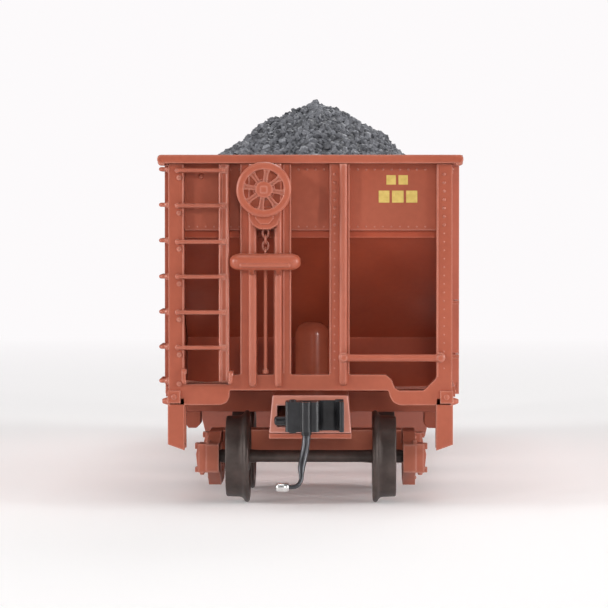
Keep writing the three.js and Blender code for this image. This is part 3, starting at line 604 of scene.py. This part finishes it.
RUNGS_END = [38.6, 34.5, 30.3, 26.25, 22.1, 18.0]
RUNGS_SIDE = [38.74, 34.6, 30.46, 26.25, 22.15, 18.06, 14.1]
for e in "ba":
    # end ladder
    b = EB(e)
    b.prism([(-10.58, -62.35), (-10.58, -61.95), (-9.85, -61.95), (-9.85, -60.65), (-9.45, -60.65), (-9.45, -62.35)], "XY",
            13.85, 39.3)
    for x0 in (-10.6, -9.72):
        b.rod((x0 + 0.14, -62.34, 13.95), (x0 + 0.14, -62.34, 39.25), 0.17, 10, edge=0.05)
    for z in RUNGS_END:
        bent_rod(b, [(-15.42, -62.05, z), (-15.42, -62.62, z), (-9.95, -62.62, z)], 0.25, 12, 0.3)
        b.dome((-15.42, -62.0, z), (0, -1, 0), 0.34, 0.22, 10)
        b.box(-10.45, -9.6, -62.72, -62.3, z - 0.3, z + 0.3)
        b.hexhead((-10.02, -62.7, z), (0, -1, 0), 0.22, 0.18)
    bent_rod(b, [(-14.68, -62.05, 15.35), (-14.68, -63.2, 15.35), (-14.68, -63.2, 14.0), (-9.2, -63.2, 14.0), (-9.2, -63.2, 15.1),
                 (-9.2, -62.2, 15.1)], 0.26, 12, 0.28)
    b.box(-15.0, -14.35, -62.5, -62.03, 14.95, 15.5)
    b.box(-9.6, -8.95, -62.5, -62.03, 14.7, 15.3)
    b.hexhead((-14.68, -62.45, 15.2), (0, -1, 0), 0.2, 0.15)
    b.make(f"end_ladder_fine_{e}", BODY, "root", "body_paint", bevel=0.05, replaces=(f"end_ladder_{e}",))
    # bolt heads on the corner post, one below each rung
    b = EB(e)
    for z in RUNGS_END + [14.6]:
        b.hexhead((-15.25, -62.0, z - 0.85), (0, -1, 0), 0.33, 0.26, 8)
        b.hexhead((-15.25, -62.2, z - 0.85), (0, -1, 0), 0.17, 0.16, 6)
    b.make(f"post_bolts_{e}", BODY, "root", "body_paint")
    # raised edges of the post flanges
    b = EB(e)
    for x in (2.34, 4.45) + ((-8.03, -3.12, -2.34) if e == "b" else (-2.34,)):
        b.rod((x, -61.98, 15.0), (x, -61.98, 39.3), 0.12, 8)
    for x in (-14.78, 14.78):
        b.rod((x, -61.98, 14.6), (x, -61.98, 39.3), 0.13, 8)
    b.make(f"flange_beads_{e}", BODY, "root", "body_paint")
    # side ladder
    b = EB(e)
    b.prism([(-17.25, -56.35), (-17.25, -55.5), (-17.0, -55.5), (-17.0, -56.05), (-16.56, -56.05), (-16.56, -56.35)], "XY",
            13.5, 39.2)
    for z in RUNGS_SIDE:
        bent_rod(b, [(-16.6, -61.45, z), (-17.4, -61.45, z), (-17.4, -55.9, z)], 0.25, 12, 0.32)
        b.dome((-16.56, -61.45, z), (-1, 0, 0), 0.42, 0.4, 10)
        b.hexhead((-17.3, -55.9, z), (-1, 0, 0), 0.24, 0.3)
    b.make(f"side_ladder_fine_{e}", BODY, "root", "body_paint", bevel=0.04, replaces=(f"side_ladder_{e}",))
    # end grab iron
    b = EB(e)
    gz = 16.87
    bent_rod(b, [(3.9, -62.95, gz), (3.9, -63.5, gz), (15.1, -63.5, gz), (15.1, -62.08, gz)], 0.42, 18, 0.55)
    for gx, gy in ((3.9, -62.9), (15.1, -62.0)):
        b.dome((gx, gy, gz), (0, -1, 0), 0.62, 0.34, 14)
        b.hexhead((gx, -63.85, gz), (0, -1, 0), 0.4, 0.2, 8)
    b.make(f"end_grab_fine_{e}", BODY, "root", "body_paint", bevel=0.0, replaces=(f"end_grab_{e}",))
    # side grab iron beads on the opposite side
    b = EB(e)
    for z in (23.2, 16.9):
        for y in (-59.95, -54.85):
            b.hexhead((17.1, y, z), (1, 0, 0), 0.26, 0.2)
    b.make(f"side_grab_bolts_{e}", BODY, "root", "body_paint")

    # rivets on the end: under the rim, up the posts, along the sheet's lower edge
    b = EB(e)
    x = -14.2
    while x < 14.3:
        if not (-8.2 < x < -2.2 or 2.2 < x < 4.4) or e == "a":
            b.dome((x, -60.5, 38.72), (0, -1, 0), 0.16, 0.09, 8)
        x += 0.985
    z = 15.6
    while z < 39:
        for xx in ((2.82, 15.55) if e == "b" else (2.82, 15.55, -2.82)):
            b.dome((xx, -62.0, z), (0, -1, 0), 0.2 if z > 31.5 else 0.12, 0.15 if z > 31.5 else 0.04, 8)
        z += 0.98
    x = -14.2
    while x < 14.3:
        if not (-8.2 < x < -2.2 or 2.2 < x < 4.4):
            b.dome((x, -60.5, 32.05), (0, -1, 0), 0.12, 0.06, 8)
        x += 0.985
    for s in (-1, 1):
        b.dome((s * 15.85, -62.4, 12.25), (0, -1, 0), 0.34, 0.16, 10)
    b.dome((-12.75, -60.5, 37.9), (0, -1, 0), 0.34, 0.3, 12)
    b.make(f"end_rivets_{e}", BODY, "root", "body_paint")

# ------------------------------------------------------------------ sides: post flanges and rivets
for name, s in (("left", -1), ("right", 1)):
    b = B()
    for i in range(-4, 5):
        y = i * 11.75
        for t in (-1, 1):
            b.box(s * 16.45, s * 16.68, y + t * 0.7, y + t * 1.45, 12.25, 39.35)
        b.box(s * 17.4, s * 17.66, y - 0.62, y + 0.62, 12.3, 13.2)
    b.box(s * 16.45, s * 16.62, -60.4, 60.4, 38.2, 39.35)
    b.make(f"side_flanges_{name}", BODY, "root", "body_paint", bevel=0.04)
    b = B()
    for i in range(-4, 5):
        y = i * 11.75
        z = 13.9
        while z < 38.2:
            for t in (-1, 1):
                b.dome((s * 16.68, y + t * 1.08, z), (s, 0, 0), 0.15, 0.11, 6)
            z += 0.98
    y = -59.6
    while y < 59.7:
        b.dome((s * 16.62, y, 38.75), (s, 0, 0), 0.15, 0.11, 6)
        b.dome((s * 16.9, y, 12.8), (s, 0, 0), 0.15, 0.11, 6)
        y += 0.985
    b.make(f"side_rivets_{name}", BODY, "root", "body_paint")

# ------------------------------------------------------------------ hand brake
BX, BZ = -5.28, 36.35
b = B()
seg = 72
prof = [(2.32, -0.22), (2.4, -0.3), (2.72, -0.34), (2.95, -0.33), (3.12, -0.22), (3.19, 0.0), (3.12, 0.22), (2.95, 0.33), (2.72, 0.34),
        (2.4, 0.3), (2.32, 0.22)]
b.lathe(prof, (BX, -66.0, BZ), (0, -1, 0), seg, closed=True)
b.lathe([(0.001, -0.3), (0.85, -0.3), (1.0, -0.2), (1.0, 0.2), (0.9, 0.34), (0.55, 0.4), (0.001, 0.42)],
        (BX, -66.0, BZ), (0, -1, 0), 40)
b.box(BX - 0.36, BX + 0.36, -66.56, -66.3, BZ - 0.36, BZ + 0.36)
b.rod((BX, -65.05, BZ), (BX, -65.8, BZ), 0.48, 20)
for k in range(8):
    a = math.radians(81 + 45 * k)
    c, sn = math.cos(a), math.sin(a)
    # each spoke is a shallow channel, two raised edges with a web between, spreading into the rim
    for sgn in (0, -1, 1):
        pts = []
        for rr, half in ((0.85, 0.26), (1.85, 0.27), (2.2, 0.36), (2.45, 0.5)):
            lo, hi = (-half, half) if sgn == 0 else (sgn * half, sgn * (half - 0.13))
            pts.append([(BX + c * rr - sn * u, BZ + sn * rr + c * u) for u in (lo, hi)])
        y1, y0 = (0.08, -0.2) if sgn == 0 else (0.24, -0.18)
        b.prism([q[0] for q in pts] + [q[1] for q in reversed(pts)], "XZ", -66.0 - y1, -66.0 - y0)
b.make("brake_wheel_fine", BODY, "brake_wheel", "body_paint", bevel=0.03, replaces=("brake_wheel",))

# housing trim: cover rib, bolts and the ratchet boss
b = B()
b.rod((BX, -64.6, BZ), (BX, -65.0, BZ), 1.25, 32, edge=0.08)
for x, z in ((-6.55, 38.4), (-3.95, 38.4), (-6.55, 33.6), (-3.95, 33.6)):
    b.hexhead((x, -64.7, z), (0, -1, 0), 0.24, 0.2)
b.prism([(-6.3, 33.0), (-5.7, 32.35), (-4.75, 32.35), (-4.2, 33.0), (-4.2, 34.4), (-6.3, 34.4)], "XZ", -64.95, -64.6)
b.make("brake_housing_trim", BODY, "root", "body_paint", bevel=0.05)

# chain and rod
b = B()


def link(c, flat, h=0.62, w=0.38, r=0.13):
    pts = []
    for k in range(24):
        a = 2 * math.pi * k / 24
        u = w * math.cos(a)
        v = h * math.sin(a)
        pts.append((c[0] + (u if flat else 0), c[1] + (0 if flat else u), c[2] + v))
    b.tube(pts, r, 8, up=(0, 1, 0) if flat else (1, 0, 0), closed=True)


z = 31.3
for i in range(5):
    link((-5.2, -62.2, z), i % 2 == 0, 0.52, 0.34, 0.13)
    z -= 0.74
b.rod((-5.2, -62.2, 14.97), (-5.2, -62.2, 28.2), 0.22, 14)
b.rod((-5.2, -62.2, 15.0), (-5.2, -62.2, 15.5), 0.36, 12, edge=0.1)
b.rod((-5.2, -62.2, 27.3), (-5.2, -62.2, 28.1), 0.34, 12)
b.make("brake_chain_fine", BODY, "root", "body_paint", replaces=("brake_chain",))

# step: a rounded board with a bead along its edge, on two brackets
b = B()
rings = []
for x, k, h in ((-9.25, 0.55, 0.30), (-9.2, 0.72, 0.46), (-9.0, 0.86, 0.66), (-8.7, 0.95, 0.84), (-8.3, 1.0, 0.95), (-6.0, 1.0, 0.97),
                (-4.4, 1.0, 0.97), (-2.05, 1.0, 0.95), (-1.65, 0.95, 0.84), (-1.35, 0.86, 0.66), (-1.15, 0.72, 0.46), (-1.1, 0.55, 0.30)):
    ring = [P(x, -62.97, 28.0 + h), P(x, -62.97, 28.0 - h)]
    for i in range(9):
        a = -math.pi / 2 + math.pi * i / 8
        ring.append(P(x, -62.97 - (1.75 + 0.9 * math.cos(a)) * k, 28.0 + h * math.sin(a)))
    rings.append(ring)
b.loops(rings)
step = b.make("brake_step_board", BODY, "root", "body_paint", sharp=50, bevel=0.08, seg=2, replaces=("brake_step",))
b = B()
for x in (-6.75, -3.65):
    b.prism([(-62.96, 27.3), (-62.96, 26.5), (-63.4, 26.5), (-64.9, 27.1), (-64.9, 27.3)], "YZ", x - 0.3, x + 0.3)
b.rod((-8.1, -65.52, 27.62), (-2.25, -65.52, 27.62), 0.24, 12, edge=0.1)
b.make("brake_step_brackets", BODY, "root", "body_paint", bevel=0.05)

# brake cylinder standing behind the end frame
b = B()
b.lathe([(0.001, 12.15), (2.35, 12.15), (2.4, 12.25), (2.4, 12.8), (2.3, 12.95), (2.05, 13.0), (2.05, 19.0), (1.98, 19.4), (1.7, 20.0),
         (1.1, 20.4), (0.4, 20.5), (0.001, 20.5)], (0, -47.5, 0), (0, 0, 1), 64)
for k in range(8):
    a = 2 * math.pi * k / 8
    b.hexhead((2.2 * math.cos(a), -47.5 + 2.2 * math.sin(a), 12.93), (0, 0, 1), 0.13, 0.18)
b.make("brake_cylinder_fine", GLOSS, "root", "body_paint", sharp=40, replaces=("brake_cylinder",))

# plain stencil bars in place of any lettering
b = B()
for x0, x1, z0, z1 in ((8.85, 9.95, 36.95, 38.05), (10.25, 11.35, 36.95, 38.05), (7.95, 9.2, 34.85, 36.25), (9.5, 10.85, 34.85, 36.25),
                       (11.15, 12.45, 34.85, 36.25)):
    b.box(x0, x1, -60.53, -60.45, z0, z1)
b.make("stencil_bars", YELLOW, "root", "body_paint")

# ------------------------------------------------------------------ trucks and wheels
TY, HB, TR = 44.6, 9.9, 4.81
PROFILE = [(0.86, 0.05), (1.55, 0.0), (1.7, 0.12), (1.85, 0.55), (2.4, 0.75), (3.5, 0.55), (3.95, 0.2), (4.15, 0.02), (4.9, 0.0),
           (5.22, 0.04), (5.38, 0.14), (5.45, 0.3), (5.42, 0.46), (5.30, 0.62), (5.10, 0.74), (4.95, 0.86), (4.87, 1.0), (4.82, 1.3),
           (4.78, 2.6), (4.72, 2.74), (4.6, 2.8), (4.05, 2.8), (3.9, 2.7), (3.75, 2.3), (3.2, 1.95), (2.4, 1.75), (1.9, 1.95),
           (1.7, 2.3), (1.6, 2.72), (1.5, 2.8), (0.86, 2.78)]
for e, s in (("b", -1), ("a", 1)):
    for k, off in ((1, s * HB), (2, -s * HB)):
        y = s * TY + off
        body = f"wheelset_{e}{k}"
        for side, t in (("right", 1), ("left", -1)):
            b = B()
            b.lathe(PROFILE, (t * 7.25, y, TR), (t, 0, 0), 96, closed=True)
            b.make(f"wheel_fine_{e}{k}_{side}", WHEEL, body, "wheel_metal", sharp=50, replaces=(f"wheel_{e}{k}_{side}",))
        b = B()
        b.lathe([(0.05, -12.74), (0.2, -12.3), (0.78, -10.65), (0.8, -10.5), (0.8, -7.0), (0.72, -6.2), (0.72, 6.2), (0.8, 7.0), (0.8, 10.5),
                 (0.78, 10.65), (0.2, 12.3), (0.05, 12.74)], (0, y, TR), (1, 0, 0), 32)
        b.make(f"axle_fine_{e}{k}", WHEEL, body, "wheel_metal", sharp=50, replaces=(f"axle_{e}{k}",))
    # springs, journal lids and bolts of each sideframe
    for side, t in (("right", 1), ("left", -1)):
        b = B()
        for yy in (-1.7, 0.0, 1.7):
            for rr, zz0, zz1, turns in ((0.62, 2.3, 4.15, 4.5),):
                pts = []
                n = int(turns * 14)
                for i in range(n + 1):
                    a = 2 * math.pi * turns * i / n
                    pts.append((t * 11.65 + rr * math.cos(a), s * TY + yy + rr * math.sin(a), zz0 + (zz1 - zz0) * i / n))
                b.tube(pts, 0.15, 6)
            b.rod((t * 11.65, s * TY + yy, 2.15), (t * 11.65, s * TY + yy, 4.2), 0.42, 12)
        for j in (-1, 1):
            yj = s * TY + j * 9.9
            # journal lid: a tilted cover with a hinge lug on top
            b.prism([(13.25, 6.1), (13.25, 3.2), (13.42, 3.2), (13.62, 5.1), (13.42, 6.1)] if t > 0 else
                    [(-13.25, 6.1), (-13.42, 6.1), (-13.62, 5.1), (-13.42, 3.2), (-13.25, 3.2)], "XZ", yj - 1.25, yj + 1.25)
            b.rod((t * 13.45, yj - 0.5, 6.15), (t * 13.45, yj + 0.5, 6.15), 0.26, 12)
            for yy in (-1.3, 1.3):
                b.hexhead((t * 12.9, yj + yy * 0.95, 2.98), (0, 0, -1), 0.28, 0.3)
                b.hexhead((t * 12.2, yj + yy * 0.95, 6.33), (0, 0, 1), 0.28, 0.3)
        for yy in (-6.3, -3.2, 3.2, 6.3):
            b.dome((t * 12.4, s * TY + yy, 6.62 if abs(yy) < 4 else 6.15), (t, 0, 0), 0.22, 0.18, 8)
        for yy in (-3.3, 3.3):
            b.dome((t * 12.4, s * TY + yy, 1.75), (t, 0, 0), 0.22, 0.18, 8)
        b.make(f"truck_detail_{e}_{side}", TRUCK, f"truck_{e}", "truck_paint", bevel=0.0)
    # kingpin screw
    b = B()
    b.lathe([(0.001, 3.65), (1.2, 3.65), (1.45, 3.78), (1.5, 4.0), (1.5, 4.15), (0.7, 4.18), (0.7, 11.2), (0.001, 11.2)],
            (0, s * TY, 0), (0, 0, 1), 40)
    b.box(-0.9, 0.9, s * TY - 0.12, s * TY + 0.12, 3.62, 3.68)
    b.make(f"kingpin_fine_{e}", SCREW, "root", "screw_metal", replaces=(f"kingpin_screw_{e}",))

# ------------------------------------------------------------------ couplers
for e in "ba":
    b = EB(e)
    path = [(-0.38, -65.5, 8.2), (-0.44, -65.6, 7.2), (-0.6, -65.8, 6.1), (-0.8, -66.1, 5.1), (-0.95, -66.5, 4.3), (-0.95, -66.9, 3.6),
            (-0.98, -67.2, 3.0), (-1.25, -67.45, 2.5), (-1.7, -67.6, 2.24), (-2.5, -67.74, 2.2)]
    radii = [0.47, 0.47, 0.47, 0.46, 0.43, 0.30, 0.26, 0.25, 0.25, 0.25]
    smooth, rr = [], []
    for i in range(len(path) - 1):
        p0 = Vector(path[max(i - 1, 0)]); p1 = Vector(path[i]); p2 = Vector(path[i + 1]); p3 = Vector(path[min(i + 2, len(path) - 1)])
        for j in range(5):
            t = j / 5
            smooth.append(0.5 * ((2 * p1) + (p2 - p0) * t + (2 * p0 - 5 * p1 + 4 * p2 - p3) * t * t + (3 * p1 - p0 - 3 * p2 + p3) * t ** 3))
            rr.append(radii[i] * (1 - t) + radii[i + 1] * t)
    smooth.append(Vector(path[-1]))
    rr.append(radii[-1])
    b.tube(smooth, rr, 16, up=(0.3, 1, 0))
    b.mat = 1
    b.rod((-2.4, -67.74, 2.2), (-3.85, -67.98, 2.2), 0.5, 20, edge=0.16)
    b.make(f"trip_pin_fine_{e}", [PIN, BRIGHT], f"coupler_{e}", "pin_steel", sharp=50, replaces=(f"trip_pin_{e}",))
    b = EB(e)
    b.lathe([(0.001, 6.85), (0.75, 6.87), (0.95, 6.98), (1.0, 7.2), (1.0, 7.35), (0.35, 7.36), (0.35, 10.65), (0.001, 10.65)], (0, -54.5, 0),
            (0, 0, 1), 32)
    b.make(f"box_screw_fine_{e}", SCREW, "root", "screw_metal", replaces=(f"box_screw_{e}",))
    # head: back block, guard arm, two jaws round the pivot, shank
    KX, KY = -1.95, -67.0
    b = EB(e)
    b.prism(rounded([(-2.8, -66.15), (0.9, -66.1), (1.35, -65.2), (2.9, -65.1), (3.3, -65.9), (3.42, -68.4), (3.95, -68.4), (3.95, -65.1), (3.2, -64.3),
                     (-2.0, -64.3), (-2.8, -65.0)], 0.34), "XY", 8.55, 12.05)
    jaw = [(-2.8, -66.0)] + [(KX + 0.85 * math.cos(math.radians(a)), KY + 0.85 * math.sin(math.radians(a))) for a in range(180, 361, 15)] + \
          [(-1.1, -66.0)]
    for z0, z1 in ((8.55, 9.1), (11.5, 12.05)):
        b.prism(jaw, "XY", z0, z1)
    b.box(-1.25, 1.25, -64.6, -55.6, 8.95, 11.05)
    b.lathe([(0.98, 8.95), (1.7, 8.95), (1.7, 11.05), (0.98, 11.05)], (0, -54.5, 0), (0, 0, 1), 40, closed=True)
    b.rod((-2.6, -65.45, 9.7), (-4.1, -65.45, 9.7), 0.55, 20, edge=0.2)
    b.rod((-0.4, -65.52, 8.7), (-0.4, -65.52, 7.95), 0.6, 20, edge=0.12)
    b.box(2.9, 3.9, -66.2, -64.8, 11.9, 12.2)
    b.make(f"coupler_head_{e}", BLACK, f"coupler_{e}", "coupler_black", bevel=0.13, seg=3, replaces=(f"coupler_{e}",))
    b = EB(e)
    boss = [(-0.4 + 0.58 * math.cos(math.radians(a)), -68.3 + 0.6 * math.sin(math.radians(a))) for a in range(195, 346, 15)]
    hook = rounded([(-2.75, -67.85), (-2.75, -68.2), (-2.5, -68.45), (-1.02, -68.45)], 0.14, 4)[4:] + boss + \
        rounded([(0.24, -68.43), (0.75, -68.4), (1.14, -68.05), (1.1, -67.3), (0.75, -66.95), (0.35, -67.15), (0.2, -67.75), (-0.5, -67.98)], 0.14, 4)
    hook += [(KX + 0.97 * math.cos(math.radians(a)), KY + 0.97 * math.sin(math.radians(a))) for a in range(300, 243, -8)]
    b.prism(hook, "XY", 8.58, 12.02)
    b.rod((KX, KY, 9.15), (KX, KY, 11.45), 0.72, 32)
    b.box(-2.45, -1.45, -68.3, -67.1, 9.15, 11.45)
    b.make(f"knuckle_fine_{e}", BLACK, f"knuckle_{e}", "coupler_black", bevel=0.14, seg=3, sharp=32, replaces=(f"knuckle_{e}",))
    b = EB(e)
    for z, d in ((12.05, 1), (8.55, -1)):
        b.lathe([(0.001, -0.1), (0.42, -0.1), (0.42, 0.12), (0.3, 0.2), (0.001, 0.22)], (KX, KY, z), (0, 0, d), 20)
    b.make(f"coupler_rivet_{e}", BLACK, f"coupler_{e}", "coupler_black")


# ------------------------------------------------------------------ coal
CREST = [(-15.4, 39.3), (-13.2, 39.9), (-11.6, 40.8), (-10.3, 41.8), (-8.8, 42.6), (-7.3, 44.1), (-5.9, 45.1), (-4.2, 45.5), (-2.9, 46.3),
         (-1.4, 46.8), (-0.1, 47.6), (1.4, 46.9), (2.6, 46.6), (4.0, 46.0), (5.0, 45.5), (6.0, 44.7), (7.6, 43.9), (8.9, 43.4),
         (9.5, 42.3), (10.8, 40.9), (12.6, 40.0), (15.4, 39.3)]


def across(x):
    for (x0, v0), (x1, v1) in zip(CREST, CREST[1:]):
        if x <= x1:
            return v0 + (v1 - v0) * (x - x0) / (x1 - x0) - 39.3
    return 0.0


def along(y):
    a = abs(y)
    if a < 29:
        return 0.7 + 0.3 * (1 - math.cos(math.pi * a / 29)) / 2
    return max(0.0, 1 - ((a - 29) / 30.4) ** 1.5)


def heap(x, y):
    t = min(1.0, max(0.0, (y + 20) / 40))
    k = (across(max(-15.4, min(15.4, x))) * (1 - t) + across(max(-15.4, min(15.4, -x))) * t) * along(y)
    rough = 0.3 * math.sin(1.9 * x + 0.7 * y) * math.sin(1.3 * y - 0.4 * x) * min(1, abs(abs(y) - 29) / 12)
    rough += 0.15 * math.sin(3.1 * x - 2.3 * y)
    return 39.3 + k + (rough * min(1, k / 2) if k > 0.3 else 0) - 0.42


def coal():
    verts, faces, tone = [], [], []
    # bed under the lumps, given a dark tone: painted shade in the gaps between the lumps
    nx, ny = 62, 236
    X, Y = 15.35, 59.35
    for i in range(nx + 1):
        for j in range(ny + 1):
            x, y = -X + 2 * X * i / nx, -Y + 2 * Y * j / ny
            n1 = noise.noise(Vector((x * 1.7, y * 1.7, 3.1)))
            verts.append(P(x, y, heap(x, y) + 0.22 * n1))
    idx = lambda i, j: i * (ny + 1) + j
    for i in range(nx):
        for j in range(ny):
            faces.append((idx(i, j), idx(i + 1, j), idx(i + 1, j + 1), idx(i, j + 1)))
    rim = [idx(i, 0) for i in range(nx)] + [idx(nx, j) for j in range(ny)] + [idx(i, ny) for i in range(nx, 0, -1)] + \
          [idx(0, j) for j in range(ny, 0, -1)]
    first = len(verts)
    for v in rim:
        x, y, _ = verts[v]
        verts.append((x, y, (37.1 + RAIL) * MM))
    for k in range(len(rim)):
        m = (k + 1) % len(rim)
        faces.append((first + k, first + m, rim[m], rim[k]))
    faces.append(tuple(first + k for k in reversed(range(len(rim)))))
    # dark tone on the bed: painted shade between the lumps
    tone.extend([0.12] * len(faces))
    # lumps: cut stones of uneven size
    t = (1 + 5 ** 0.5) / 2
    ico = [Vector(p).normalized() for p in ((-1, t, 0), (1, t, 0), (-1, -t, 0), (1, -t, 0), (0, -1, t), (0, 1, t), (0, -1, -t),
                                              (0, 1, -t), (t, 0, -1), (t, 0, 1), (-t, 0, -1), (-t, 0, 1))]
    icof = [(0, 11, 5), (0, 5, 1), (0, 1, 7), (0, 7, 10), (0, 10, 11), (1, 5, 9), (5, 11, 4), (11, 10, 2), (10, 7, 6), (7, 1, 8),
            (3, 9, 4), (3, 4, 2), (3, 2, 6), (3, 6, 8), (3, 8, 9), (4, 9, 5), (2, 4, 11), (6, 2, 10), (8, 6, 7), (9, 8, 1)]
    count = 9800
    for _ in range(count):
        x = rnd.uniform(-14.9, 14.9)
        y = rnd.uniform(-58.9, 58.9)
        size = rnd.choice((0.30, 0.36, 0.42, 0.42, 0.5, 0.58)) * rnd.uniform(0.85, 1.15) * 1.0
        rot = Matrix.Rotation(rnd.uniform(0, 6.283), 3, Vector((rnd.uniform(-1, 1), rnd.uniform(-1, 1), rnd.uniform(-1, 1) + 0.01)).normalized())
        sc = Vector((rnd.uniform(0.75, 1.25), rnd.uniform(0.7, 1.1), rnd.uniform(0.6, 1.0)))
        c = Vector((x, y, heap(x, y) + rnd.uniform(-0.12, 0.22)))
        c.x = max(-15.3 + size, min(15.3 - size, c.x))
        c.y = max(-59.3 + size, min(59.3 - size, c.y))
        base = len(verts)
        for p in ico:
            q = Vector((p.x * sc.x, p.y * sc.y, p.z * sc.z)) * (size * rnd.uniform(0.78, 1.16))
            q = rot @ q + c
            verts.append(P(*q))
        tn = min(1.0, max(0.0, rnd.gauss(0.5, 0.2)))
        for f in icof:
            faces.append(tuple(base + i for i in f))
            tone.append(min(1.0, max(0.0, tn + rnd.uniform(-0.14, 0.2))))
    me = bpy.data.meshes.new("coal_heap")
    me.from_pydata(verts, [], faces)
    me.materials.append(COAL)
    at = me.attributes.new("tone", "FLOAT", "FACE")
    at.data.foreach_set("value", tone)
    me.update()
    o = bpy.data.objects.new("coal_heap", me)
    scene.collection.objects.link(o)
    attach(o, "coal_load")
    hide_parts("coal_load")
    return o


coal()

# ------------------------------------------------------------------ close
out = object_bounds()
